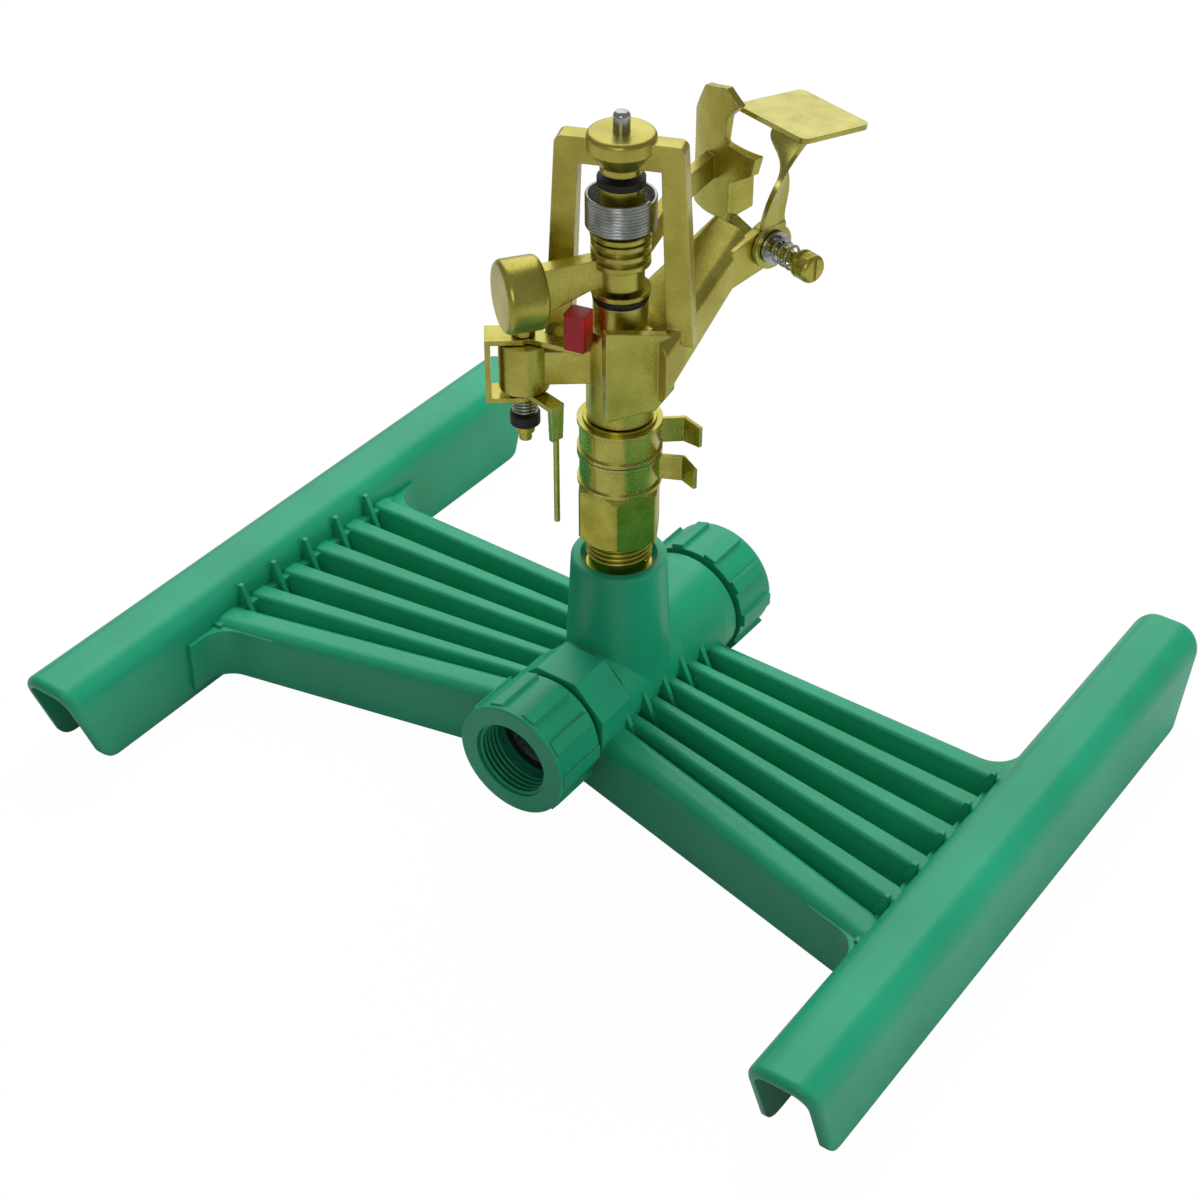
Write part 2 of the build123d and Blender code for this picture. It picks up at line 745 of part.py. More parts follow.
def sprinkler_body():
    """Brass casting: riser tube, nozzle barrel, pad, yoke and reversing housing."""
    bottom = nipple_neck_top + 0.4
    body = post(tube_radius, bottom, body_top - 8) + post(body_neck_radius, body_top - 9, body_top)
    root = barrel_section(2.0, barrel_root_side, barrel_root_z, barrel_root_width,
                          barrel_root_height, 4.0)
    end = barrel_section(barrel_end_along, barrel_end_side, jet_z(barrel_end_along), barrel_end_width,
                         barrel_end_height, 4.0)
    body = body + loft([root, end]) + yoke() + rear_pad()
    side_point = direction(barrel_heading + 90) * (ear_side + ear_thickness / 2)
    ear_plane = upright_plane(side_point.X, side_point.Y, barrel_heading)
    ear = Pos(ear_along, ear_z) * Circle(ear_radius)
    ear = ear + outline(Plane.XY, [(ear_along - 14, ear_z - 10), (ear_along, ear_z - ear_radius),
                                   (ear_along, ear_z + ear_radius), (ear_along - 14, ear_z + 2)])
    body = body + extrude(ear_plane * ear, ear_thickness / 2, both=True)
    housing = post(housing_radius, housing_bottom, housing_top, pivot_x, pivot_y)
    arm_heading = math.degrees(math.atan2(pivot_y, pivot_x))
    reach = math.hypot(pivot_x, pivot_y)
    arm = [(0, housing_arm_bottom), (reach, housing_arm_bottom), (reach, housing_arm_top),
           (0, housing_arm_top)]
    body = body + housing + upright_plate(0, 0, arm_heading, arm, housing_arm_width)
    body = body - post(rod_radius + running_gap, housing_bottom - 1, housing_top + 1, pivot_x, pivot_y)
    body = body - post(nipple_bore_radius, bottom - 1, bottom + sleeve_socket_depth)
    body = body - post(nipple_bore_radius - sleeve_wall, bottom, barrel_root_z + 3)
    past_end = barrel_end_along + 6
    jet_end = barrel_point(past_end, 0, jet_z(past_end))
    body = body - bar_between((0, 0, barrel_root_z), jet_end, jet_bore_radius)
    body = body - post(pin_radius, pin_bottom, body_top + 1)
    body = body - post(pin_radius, yoke_top - 20, yoke_disc_top + 1)
    screw_start = barrel_point(ear_along, ear_side - 1, ear_z)
    screw_end = barrel_point(ear_along, ear_side + ear_thickness + 1, ear_z)
    return body - bar_between(screw_start, screw_end, screw_radius + running_gap)


def nozzle():
    """Brass nozzle screwed into the barrel, with a small hexagon."""
    axis = Vector(*barrel_point(1, 0, jet_slope)).normalized()
    start = Vector(*barrel_point(barrel_end_along - 8, 0, jet_z(barrel_end_along - 8)))
    face_along = barrel_end_along + barrel_end_height / 2 * math.sin(math.radians(barrel_rise))
    face = Vector(*barrel_point(face_along, 0, jet_z(face_along)))
    shank = Plane(origin=start, z_dir=axis) * Circle(jet_bore_radius - 0.02)
    shank = extrude(shank, (face - start).length + 1)
    hexagon = RegularPolygon(nozzle_hex_flats / 2, 6, major_radius=False)
    head = extrude(Plane(origin=face, z_dir=axis) * hexagon, nozzle_stand_out)
    bore = extrude(Plane(origin=start - axis, z_dir=axis) * Circle(nozzle_mouth_radius), 30)
    return shank + head - bore


def fulcrum_pin():
    """Steel pin through the yoke, with a rounded tip."""
    pin = post(pin_radius - 0.02, pin_bottom, pin_top)
    return fillet(pin.edges().group_by(Axis.Z)[-1], 1.6)


def fulcrum_seal_ring():
    """Black rubber ring on the body's neck."""
    ring = tube(seal_ring_radius, pin_radius + 0.3, body_top, body_top + seal_ring_height)
    return fillet(ring.edges().filter_by(GeomType.CIRCLE).sort_by(SortBy.RADIUS)[-2:], 1.0)


def lower_thrust_washer():
    """Brass washer under the arm's hub."""
    bottom = body_top + seal_ring_height
    return tube(thrust_washer_radius, pin_radius + 0.3, bottom, bottom + thrust_washer_thickness)


def spring_spool():
    """Brass spool that the arm spring is wound on."""
    body = tube(spool_radius, pin_radius + side_gap, spool_bottom, spool_top)
    flange_top = spool_bottom + spool_flange_height
    return body + tube(spool_flange_radius, pin_radius + side_gap, spool_bottom, flange_top)


def spring_buffer():
    """Black ring on top of the spool."""
    return tube(buffer_radius, pin_radius + 0.3, spool_top, spool_top + buffer_height)


def arm_spring():
    """Close-wound torsion spring, a wall of wire one turn on the next."""
    return tube(spring_radius, spring_radius - spring_wall, spring_bottom, spring_bottom + spring_height)


def arm_bush():
    """Plastic bush in the arm's hub."""
    return tube(pin_radius + 0.06 + arm_bush_wall, pin_radius + 0.06, arm_hub_bottom, arm_hub_top)


def drive_arm():
    """Arm with ringed hub, counterweight and spoon."""
    bore = pin_radius + 0.06 + arm_bush_wall
    hub = post(arm_hub_radius, arm_hub_bottom, arm_hub_top)
    pitch = (arm_hub_top - arm_hub_bottom - 6) / arm_hub_ring_count
    for index in range(arm_hub_ring_count):
        low = arm_hub_bottom + 7 + index * pitch
        if low + 1.6 < arm_hub_top:
            hub = hub + post(arm_hub_ring_radius, low, low + 1.6)
    half_root = weight_beam_root_height / 2
    half_end = weight_beam_end_height / 2
    root_z = arm_hub_bottom + half_root
    clear = thrust_washer_radius + 1.5
    beam = [(0, root_z - half_root), (clear, root_z - half_root),
            (weight_start + 2, weight_z - half_end), (weight_start + 2, weight_z + half_end),
            (0, root_z + half_root)]
    weight_beam = upright_plate(0, 0, weight_heading, beam, weight_beam_thickness)
    out = direction(weight_heading)
    start = out * weight_start
    end = out * (weight_start + weight_length)
    weight = bar_between((start.X, start.Y, weight_z), (end.X, end.Y, weight_z), weight_radius)
    weight = fillet(weight.edges().filter_by(GeomType.CIRCLE), 2.0)
    spoon_reach = spoon_along / math.cos(math.radians(spoon_beam_heading - barrel_heading))
    low = arm_hub_bottom
    high = arm_hub_bottom + spoon_beam_rise
    front = [(0, low), (arm_hub_radius, low), (spoon_beam_rise_end, high), (spoon_reach, high),
             (spoon_reach, high + spoon_beam_height), (spoon_beam_rise_end, high + spoon_beam_height),
             (arm_hub_radius, low + spoon_beam_height), (0, low + spoon_beam_height)]
    spoon_beam = upright_plate(0, 0, spoon_beam_heading, front, spoon_beam_thickness)
    middle = Vector(*barrel_point(spoon_along, 0, 0))
    left = spoon_left
    right = spoon_right
    prong = spoon_prong_right
    mid_z = (spoon_bottom + spoon_top) / 2
    face = [(left, spoon_bottom), (left, spoon_top - 12), (left - 6, spoon_top - 2),
            (right + 2, spoon_top), (prong + 5, spoon_top - 5), (right + 1, spoon_top - 9),
            (right + 2, mid_z + 4), (prong, mid_z + 1), (prong + 1, mid_z - 5),
            (right, mid_z - 9), (right, spoon_bottom)]
    centre = Vector(*barrel_point(spoon_along - spoon_thickness / 2 + spoon_curve, spoon_crown, 0))
    shell = tube(spoon_curve, spoon_curve - spoon_thickness, spoon_bottom - 1, spoon_top + 1,
                 centre.X, centre.Y)
    spoon = shell & upright_plate(middle.X, middle.Y, barrel_heading + 90, face, spoon_curve, 0.7)
    vane_points = [(0, spoon_bottom), (9, spoon_bottom + 3), (9, mid_z - 2), (0, mid_z + 4)]
    vane_at = Vector(*barrel_point(spoon_along, right + 1.2, 0))
    vane = upright_plate(vane_at.X, vane_at.Y, barrel_heading - 12, vane_points, 2.0, 0.6)
    arm = hub + weight_beam + weight + spoon_beam + spoon + vane
    return arm - post(bore, arm_hub_bottom - 10, arm_hub_top + 10)


# Jet deflector

def flap_section(along, left, z, turn, lean, width):
    """Section of the flap's sheet, turned about the upright and leaning towards the jet."""
    place = Vector(*barrel_point(along, left, z))
    plane = Plane(origin=place, x_dir=direction(barrel_heading), z_dir=(0, 0, 1))
    return plane * Rot(0, 0, turn) * Rot(lean, 0, 0) * Rectangle(width, flap_thickness)


def deflector_flap():
    """Sheet flap: eye, stem that twists a quarter turn, and plate over the jet."""
    side = ear_side - plate_gap - flap_thickness / 2
    base = direction(barrel_heading + 90) * side
    plane = upright_plane(base.X, base.Y, barrel_heading)
    half = flap_stem_width / 2
    eye = Pos(ear_along, ear_z) * Circle(flap_eye_radius)
    stem_low = ear_z + flap_eye_radius
    stem = outline(Plane.XY, [(ear_along - half, ear_z), (ear_along + half, ear_z),
                              (ear_along + half, stem_low + 0.01),
                              (ear_along - half, stem_low + 0.01)])
    upright = extrude(plane * (eye + stem), flap_thickness / 2, both=True)
    hole_start = barrel_point(ear_along, ear_side - 5, ear_z)
    hole_end = barrel_point(ear_along, ear_side + 5, ear_z)
    upright = upright - bar_between(hole_start, hole_end, screw_radius + running_gap)
    rise = flap_plate_z - stem_low
    neck_left = side + flap_neck_width / 2
    sections = [
        flap_section(ear_along, side, stem_low - 0.5, 0, 0, flap_stem_width),
        flap_section(ear_along + 1, side, stem_low + 0.3 * rise, 12, 5, flap_stem_width),
        flap_section(ear_along + 4, side + 1.5, stem_low + 0.65 * rise, 45, 18, flap_stem_width + 1),
        flap_section(flap_plate_near - 1.5, neck_left - 0.5, flap_plate_z - 4, 82, 42,
                     flap_neck_width),
        flap_section(flap_plate_near + 1.6, neck_left, flap_plate_z - 1.45, 90, 62,
                     flap_neck_width),
    ]
    twist = loft(sections)
    length = flap_plate_far - flap_plate_near
    slope = math.degrees(math.atan2(flap_plate_drop, length))
    width = flap_plate_left - side + flap_thickness / 2
    middle_left = flap_plate_left - width / 2
    corner = Vector(*barrel_point(flap_plate_near, middle_left, flap_plate_z))
    sheet_plane = Plane(origin=corner, x_dir=direction(barrel_heading), z_dir=(0, 0, 1))
    sheet = Pos(length / 2, 0, 0) * RectangleRounded(length, width, flap_corner_radius)
    plate = sheet_plane * Rot(0, slope, 0) * extrude(sheet, -flap_thickness)
    return plate + twist + upright


def deflector_place(distance):
    """Location on the screw's axis, its Z pointing out from the ear."""
    out = direction(barrel_heading - 90)
    point = Vector(*barrel_point(ear_along, ear_side, ear_z)) + out * distance
    return Plane(origin=point, z_dir=out).location


def deflector_screw():
    """Clamp screw with a slotted knob."""
    shaft = Pos(0, 0, screw_length / 2) * Cylinder(screw_radius, screw_length)
    shaft = deflector_place(-ear_thickness) * shaft
    knob_at = screw_length - ear_thickness - 1
    knob = deflector_place(knob_at) * Pos(0, 0, knob_length / 2) * Cylinder(knob_radius, knob_length)
    knob = fillet(knob.edges().filter_by(GeomType.CIRCLE), knob_edge)
    groove = Cylinder(knob_radius + 1, 1.2) - Cylinder(knob_radius - 0.8, 2)
    groove = deflector_place(knob_at + knob_length / 3) * groove
    knob = knob - groove
    slot = deflector_place(knob_at + knob_length) * Box(knob_slot, 3 * knob_radius, 1.6)
    return shaft + knob - slot


def deflector_washer():
    """Steel washer between flap and spring."""
    low = plate_gap + flap_thickness + plate_gap
    ring = Cylinder(deflector_washer_radius, deflector_washer_thickness)
    ring = ring - Cylinder(screw_radius + 0.2, 5)
    return deflector_place(low) * Pos(0, 0, deflector_washer_thickness / 2) * ring


def deflector_spring():
    """Short coil that clamps the flap."""
    low = 2 * plate_gap + flap_thickness + deflector_washer_thickness + deflector_spring_wire / 2 + 0.2
    high = screw_length - ear_thickness - 1.5 - deflector_spring_wire / 2 - 0.2
    return coil(deflector_spring_radius, deflector_spring_wire / 2, deflector_spring_turns, high - low,
                deflector_place(low))


# Reversing mechanism

def pivot_rod():
    """Vertical rod with a screw head on top."""
    top = housing_top + plate_gap + trigger_sheet + plate_gap
    rod = post(rod_radius, rod_bottom, top + 1, pivot_x, pivot_y)
    return rod + post(rod_head_radius, top, top + rod_head_height, pivot_x, pivot_y)


def reverse_trigger():
    """Folded sheet bracket round the housing, with the arm that carries the bumper."""
    top_low = housing_top + plate_gap
    bottom_high = housing_bottom - plate_gap - trip_plate_thickness - plate_gap
    bottom_low = bottom_high - trigger_sheet
    outward = direction(math.degrees(math.atan2(pivot_y, pivot_x)))
    side = direction(math.degrees(math.atan2(pivot_y, pivot_x)) + 90)
    pivot = Vector(pivot_x, pivot_y, 0)

    def strip(width):
        corners = [pivot + side * (width / 2), pivot + outward * trigger_reach + side * (width / 2),
                   pivot + outward * trigger_reach - side * (width / 2), pivot - side * (width / 2)]
        return [(c.X, c.Y) for c in corners]

    top_high = top_low + trigger_sheet
    top = level_plate(strip(trigger_strip_width), top_low, trigger_sheet)
    top = top + post(trigger_eye_radius, top_low, top_high, pivot_x, pivot_y)
    low = level_plate(strip(trigger_strip_width), bottom_low, trigger_sheet)
    low = low + post(trigger_eye_radius, bottom_low, bottom_high, pivot_x, pivot_y)
    web_at = pivot + outward * (trigger_reach - trigger_sheet / 2)
    web_heading = math.degrees(math.atan2(side.Y, side.X))
    half = trigger_strip_width / 2
    web_face = [(-half, bottom_low), (half, bottom_low), (half, top_high), (-half, top_high)]
    web = upright_plate(web_at.X, web_at.Y, web_heading, web_face, trigger_sheet)
    heading = math.degrees(math.atan2(bumper_y - pivot_y, bumper_x - pivot_x))
    reach = math.hypot(bumper_x - pivot_x, bumper_y - pivot_y)
    across = direction(heading + 90) * (trigger_arm_width / 2)
    tip = pivot + direction(heading) * (reach + 2.0)
    corners = [pivot + across, tip + across, tip - across, pivot - across]
    arm = level_plate([(c.X, c.Y) for c in corners], top_low, trigger_sheet)
    body = top + low + web + arm
    return body - post(rod_radius + running_gap, bottom_low - 1, top_high + 1, pivot_x, pivot_y)


def bumper():
    """Red plastic bumper standing on the trigger's arm."""
    bottom = housing_top + plate_gap + trigger_sheet
    heading = math.degrees(math.atan2(bumper_y - pivot_y, bumper_x - pivot_x))
    block = Box(bumper_size, bumper_size, bumper_height - trigger_sheet)
    block = fillet(block.edges().filter_by(Axis.Z), 1.2)
    middle = bottom + (bumper_height - trigger_sheet) / 2
    return Pos(bumper_x, bumper_y, middle) * Rot(0, 0, heading) * block


def trip_lever():
    """Flat lever on the rod with a bent tab and a hanging wire."""
    high = housing_bottom - plate_gap
    low = high - trip_plate_thickness
    heading = math.degrees(math.atan2(trip_wire_y - pivot_y, trip_wire_x - pivot_x))
    reach = math.hypot(trip_wire_x - pivot_x, trip_wire_y - pivot_y)
    pivot = Vector(pivot_x, pivot_y, 0)
    across = direction(heading + 90) * (trip_arm_width / 2)
    tip = pivot + direction(heading) * (reach + 0.4)
    corners = [pivot + across, tip + across, tip - across, pivot - across]
    plate = level_plate([(c.X, c.Y) for c in corners], low, trip_plate_thickness)
    plate = plate + post(4.6, low, high, pivot_x, pivot_y)
    tab_at = pivot + direction(heading) * (reach - 0.4)
    tab_face = [(-2.5, high), (2.5, high), (2.0, high - 12), (-2.0, high - 12)]
    tab = upright_plate(tab_at.X, tab_at.Y, heading + 90, tab_face, trip_plate_thickness)
    wire = post(trip_wire_radius, trip_wire_bottom, high - 8, tab_at.X, tab_at.Y)
    body = plate + tab + wire
    return body - post(rod_radius + running_gap, low - 1, high + 1, pivot_x, pivot_y)


def bracket_bottom():
    """Height of the trigger bracket's underside."""
    return housing_bottom - 3 * plate_gap - trip_plate_thickness - trigger_sheet


def rubber_tip():
    """Black rubber washer under the trigger bracket."""
    top = bracket_bottom() - trigger_web_height_gap
    return tube(rubber_radius, rod_radius + 0.02, top - rubber_height, top, pivot_x, pivot_y)


def pivot_nut():
    """Small round nut at the rod's lower end."""
    top = bracket_bottom() - trigger_web_height_gap - rubber_height
    return tube(pivot_nut_radius, rod_radius + 0.02, top - pivot_nut_height, top, pivot_x, pivot_y)


def trigger_spring():
    """Coil round the rod between bracket and rubber washer."""
    top = bracket_bottom() - 0.2 - trigger_spring_wire / 2
    bottom = top - trigger_web_height_gap + 0.4 + trigger_spring_wire
    return coil(trigger_spring_radius, trigger_spring_wire / 2, trigger_spring_turns, top - bottom,
                Location((pivot_x, pivot_y, bottom)))


lower_collar_bottom = hex_top + 0.3
upper_collar_bottom = lower_collar_bottom + trip_collar_height + 0.3
washer_lower, washer_upper = bearing_washers()

nodes = {
    "centre_moulding": centre_moulding(),
    "left_runner": runner(-1),
    "right_runner": runner(1),
    "inlet_nut": inlet_nut(),
    "hose_washer": hose_washer(),
    "filter_screen": filter_screen(),
    "end_cap": end_cap(),
    "end_cap_seal": end_cap_seal(),
    "bearing_nipple": bearing_nipple(),
    "lower_trip_collar": trip_collar(lower_collar_bottom, lower_tab_heading, -1),
    "upper_trip_collar": trip_collar(upper_collar_bottom, upper_tab_heading, -1),
    "bearing_sleeve": bearing_sleeve(),
    "lower_bearing_washer": washer_lower,
    "upper_bearing_washer": washer_upper,
    "sprinkler_body": sprinkler_body(),
    "nozzle": nozzle(),
    "fulcrum_pin": fulcrum_pin(),
    "fulcrum_seal_ring": fulcrum_seal_ring(),
    "lower_thrust_washer": lower_thrust_washer(),
    "drive_arm": drive_arm(),
    "arm_bush": arm_bush(),
    "spring_spool": spring_spool(),
    "arm_spring": arm_spring(),
    "spring_buffer": spring_buffer(),
    "deflector_flap": deflector_flap(),
    "deflector_screw": deflector_screw(),
    "deflector_washer": deflector_washer(),
    "deflector_spring": deflector_spring(),
    "pivot_rod": pivot_rod(),
    "reverse_trigger": reverse_trigger(),
    "bumper": bumper(),
    "trip_lever": trip_lever(),
    "trigger_spring": trigger_spring(),
    "rubber_tip": rubber_tip(),
    "pivot_nut": pivot_nut(),
}

for name, shape in nodes.items():
    export_step(shape, f"parts/{name}.step")
    box = shape.bounding_box()
    print(name, round(shape.volume, 1), len(shape.solids()), box.min, box.max)
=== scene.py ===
import json
import math

import bmesh
import bpy
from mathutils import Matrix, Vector


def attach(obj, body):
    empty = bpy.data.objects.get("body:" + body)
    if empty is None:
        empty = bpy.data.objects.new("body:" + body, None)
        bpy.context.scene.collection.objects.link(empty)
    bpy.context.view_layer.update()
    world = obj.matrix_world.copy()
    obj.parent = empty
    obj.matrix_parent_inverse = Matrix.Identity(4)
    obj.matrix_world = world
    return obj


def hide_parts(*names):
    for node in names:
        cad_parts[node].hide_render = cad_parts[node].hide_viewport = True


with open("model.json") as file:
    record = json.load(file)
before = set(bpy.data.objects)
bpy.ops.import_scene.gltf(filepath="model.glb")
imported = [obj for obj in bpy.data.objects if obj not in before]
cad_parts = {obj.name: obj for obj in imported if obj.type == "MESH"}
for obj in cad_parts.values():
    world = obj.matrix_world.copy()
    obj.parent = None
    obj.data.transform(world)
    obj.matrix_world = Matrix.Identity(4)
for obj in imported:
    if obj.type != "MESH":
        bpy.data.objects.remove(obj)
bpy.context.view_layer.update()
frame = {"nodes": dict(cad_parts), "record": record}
mm = 0.001


# a paint chart's hex, turned to linear colour
def hexColour(text):
    parts = [int(text[i:i + 2], 16) / 255 for i in (1, 3, 5)]
    linear = [c / 12.92 if c <= 0.04045 else ((c + 0.055) / 1.055) ** 2.4 for c in parts]
    return (*linear, 1.0)


# one node, with its settings and what feeds it
def addNode(tree, kind, settings=None, links=None):
    node = tree.nodes.new("ShaderNode" + kind)
    for key, value in (settings or {}).items():
        if isinstance(key, int) or key in node.inputs:
            node.inputs[key].default_value = value
        else:
            setattr(node, key, value)
    for key, source in (links or {}).items():
        tree.links.new(source, node.inputs[key])
    return node


# each finish: its three tones, gloss and how far that wanders, then the sizes of its broad clouds,
# fine grain, grain height and edges, which are lighter partly as rubbed wear and partly as a painted
# highlight; rings marks a piece whose grain runs round its axis
finishes = {
    # polypropylene, injection moulded: waxy half gloss, slow flow clouds, fine spark-eroded grain
    "mouldedPolypropylene": {
        "colour": "#24AC80", "deep": "#1F9F74", "edge": "#3BB48C", "roughness": 0.34, "spread": 0.07,
        "cloudMm": 40, "grainMm": 0.8, "grainHeightMm": 0.025, "edgeMm": 0.8, "ior": 1.49},
    # brass, sand cast and tumbled: pebbled skin, bright edges that are partly rubbed and partly a
    # painted highlight, a thin film of lacquer
    "castBrass": {
        "colour": "#D6CD62", "deep": "#BDB24C", "edge": "#EBE5A8", "roughness": 0.34, "spread": 0.1,
        "cloudMm": 12, "grainMm": 0.6, "grainHeightMm": 0.045, "edgeMm": 0.6, "metal": 1.0,
        "coat": 0.25},
    # brass sheet, stamped and folded: smoother and paler, lacquered as the casting is
    "stampedBrass": {
        "colour": "#D0C966", "deep": "#BBB350", "edge": "#E9E4B0", "roughness": 0.27, "spread": 0.08,
        "cloudMm": 7, "grainMm": 0.4, "grainHeightMm": 0.015, "edgeMm": 0.35, "metal": 1.0,
        "coat": 0.25},
    # brass, turned on a lathe: fine rings round the axis, coarser than real so that they show
    "turnedBrass": {
        "colour": "#D2C95E", "deep": "#B8AE44", "edge": "#E6E09E", "roughness": 0.32, "spread": 0.07,
        "cloudMm": 6, "grainMm": 0.5, "grainHeightMm": 0.012, "edgeMm": 0.3, "metal": 1.0,
        "rings": True},
    # steel, drawn bright: cool and close to a mirror, with faint draw marks, coarser than real
    "drawnSteel": {
        "colour": "#CDD0CC", "deep": "#A9ADA9", "edge": "#E4E6E3", "roughness": 0.22, "spread": 0.05,
        "cloudMm": 4, "grainMm": 0.4, "grainHeightMm": 0.008, "edgeMm": 0.2, "metal": 1.0,
        "rings": True},
    # nitrile rubber, moulded: matt black with a dusty bloom
    "mouldedRubber": {
        "colour": "#1B1D1C", "deep": "#111212", "edge": "#2B2D2C", "roughness": 0.55, "spread": 0.08,
        "cloudMm": 3, "grainMm": 0.4, "grainHeightMm": 0.02, "edgeMm": 0.3, "ior": 1.52},
    # acetal, moulded: milky and smooth
    "mouldedAcetal": {
        "colour": "#E6E4DC", "deep": "#DAD7CC", "edge": "#F0EEE8", "roughness": 0.35, "spread": 0.05,
        "cloudMm": 5, "grainMm": 0.5, "grainHeightMm": 0.01, "edgeMm": 0.3, "ior": 1.48},
    # nylon, moulded red: even colour, soft gloss
    "mouldedRedNylon": {
        "colour": "#CC0F20", "deep": "#B70A1A", "edge": "#D9283A", "roughness": 0.32, "spread": 0.06,
        "cloudMm": 5, "grainMm": 0.5, "grainHeightMm": 0.02, "edgeMm": 0.4, "ior": 1.53},
}

# what all finishes share; an edge takes its full lighter tone, rubbed wear plus a painted highlight,
# where the two normals match no more than edgeMatch, and ringPeriod is the metres from ring to ring
# at a scale of 1
skin = {"cloudDetail": 4.0, "cloudLow": 0.35, "cloudHigh": 0.65, "edgeSamples": 4, "edgeMatch": 0.72,
        "grainDetail": 3.0, "grainLow": 0.3, "grainHigh": 0.7, "ringPeriod": 0.314,
        "ringDetail": 2.0, "ringDistortion": 0.6, "bumpStrength": 0.5, "coatRoughness": 0.2}


def makeFinish(name, look):
    material = bpy.data.materials.new(name)
    material.use_nodes = True
    tree = material.node_tree
    tree.nodes.clear()
    coords = addNode(tree, "TexCoord").outputs["Object"]
    # clouds between the main tone and the deep one
    tone = addNode(tree, "TexNoise", {
        "Scale": 1 / (look["cloudMm"] * mm), "Detail": skin["cloudDetail"]}, {"Vector": coords})
    clouds = addNode(tree, "MapRange", {"From Min": skin["cloudLow"], "From Max": skin["cloudHigh"]},
                     {"Value": tone.outputs["Fac"]})
    base = addNode(tree, "Mix", {
        "data_type": "RGBA", 6: hexColour(look["colour"]), 7: hexColour(look["deep"])},
        {0: clouds.outputs["Result"]})
    # rubbed edges with a painted highlight: lighter where a softened normal leaves the true one
    soft = addNode(tree, "Bevel", {"samples": skin["edgeSamples"], "Radius": look["edgeMm"] * mm})
    flat = addNode(tree, "NewGeometry")
    match = addNode(tree, "VectorMath", {"operation": "DOT_PRODUCT"},
                    {0: flat.outputs["Normal"], 1: soft.outputs["Normal"]})
    edges = addNode(tree, "MapRange", {"From Min": 1.0, "From Max": skin["edgeMatch"]},
                    {"Value": match.outputs["Value"]})
    # the lighter edge tone is a painted highlight as well as rubbed wear
    colour = addNode(tree, "Mix", {"data_type": "RGBA", 7: hexColour(look["edge"])},
                     {0: edges.outputs["Result"], 6: base.outputs[2]})
    # grain, as rings or as a pebbled skin, for gloss and relief
    if look.get("rings"):
        grain = addNode(tree, "TexWave", {
            "bands_direction": "Z", "Scale": skin["ringPeriod"] / (look["grainMm"] * mm),
            "Distortion": skin["ringDistortion"], "Detail": skin["ringDetail"]}, {"Vector": coords})
    else:
        grain = addNode(tree, "TexNoise", {
            "Scale": 1 / (look["grainMm"] * mm), "Detail": skin["grainDetail"]}, {"Vector": coords})
    rough = addNode(tree, "MapRange", {
        "From Min": skin["grainLow"], "From Max": skin["grainHigh"],
        "To Min": look["roughness"] - look["spread"], "To Max": look["roughness"] + look["spread"]},
        {"Value": grain.outputs["Fac"]})
    bump = addNode(tree, "Bump", {
        "Strength": skin["bumpStrength"], "Distance": look["grainHeightMm"] * mm},
        {"Height": grain.outputs["Fac"], "Normal": soft.outputs["Normal"]})
    settings = {"Metallic": look.get("metal", 0.0), "Coat Weight": look.get("coat", 0.0),
                "Coat Roughness": skin["coatRoughness"]}
    if "ior" in look:
        settings["IOR"] = look["ior"]
    shader = addNode(tree, "BsdfPrincipled", settings, {
        "Base Color": colour.outputs[2], "Roughness": rough.outputs["Result"],
        "Normal": bump.outputs["Normal"]})
    addNode(tree, "OutputMaterial", None, {"Surface": shader.outputs["BSDF"]})
    return material


materials = {name: makeFinish(name, look) for name, look in finishes.items()}
print("materials made:", len(materials))

slotFinish = {
    "base_plastic": "mouldedPolypropylene", "cast_brass": "castBrass", "turned_brass": "turnedBrass",
    "sheet_brass": "stampedBrass", "steel": "drawnSteel", "black_rubber": "mouldedRubber",
    "white_plastic": "mouldedAcetal", "red_plastic": "mouldedRedNylon",
}
for part in frame["record"]["subparts"]:
    node = frame["nodes"][part["node"]]
    node.data.materials.clear()
    node.data.materials.append(materials[slotFinish[part["material_slot"]]])
print("CAD pieces finished:", len(frame["nodes"]))


weldMm = 0.01  # points closer than this are one


# a mesh becomes a piece that rides a body, in place of the named nodes if any
def newPiece(name, bm, body, finish, replaced=()):
    bmesh.ops.remove_doubles(bm, verts=bm.verts, dist=weldMm * mm)
    bmesh.ops.recalc_face_normals(bm, faces=bm.faces)
    for face in bm.faces:
        face.smooth = True
    mesh = bpy.data.meshes.new(name)
    bm.to_mesh(mesh)
    bm.free()
    mesh.materials.append(materials[finish])
    piece = bpy.data.objects.new(name, mesh)
    bpy.context.scene.collection.objects.link(piece)
    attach(piece, body)
    if replaced:
        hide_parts(*replaced)


# a ring of points carried along a helix, closed at both ends
def helixSolid(bm, profile, centre, axis, pitch, turns, stepsPerTurn):
    verts = [bm.verts.new(p) for p in profile]
    edges = [bm.edges.new((verts[i], verts[(i + 1) % len(verts)])) for i in range(len(verts))]
    rise = Vector(axis) * (pitch / stepsPerTurn)
    bmesh.ops.spin(bm, geom=verts + edges, cent=centre, axis=axis, dvec=rise,
                   angle=2 * math.pi * turns, steps=int(turns * stepsPerTurn), use_merge=False)
    ends = [e for e in bm.edges if len(e.link_faces) == 1]
    bmesh.ops.holes_fill(bm, edges=ends, sides=0)


# arm spring: bright wire wound close on its spool, in millimetres
armSpring = {"radius": 9.9, "wireRadius": 0.5, "wireSides": 8, "bottom": 189.9, "pitch": 1.0,
             "turns": 10, "stepsPerTurn": 40}


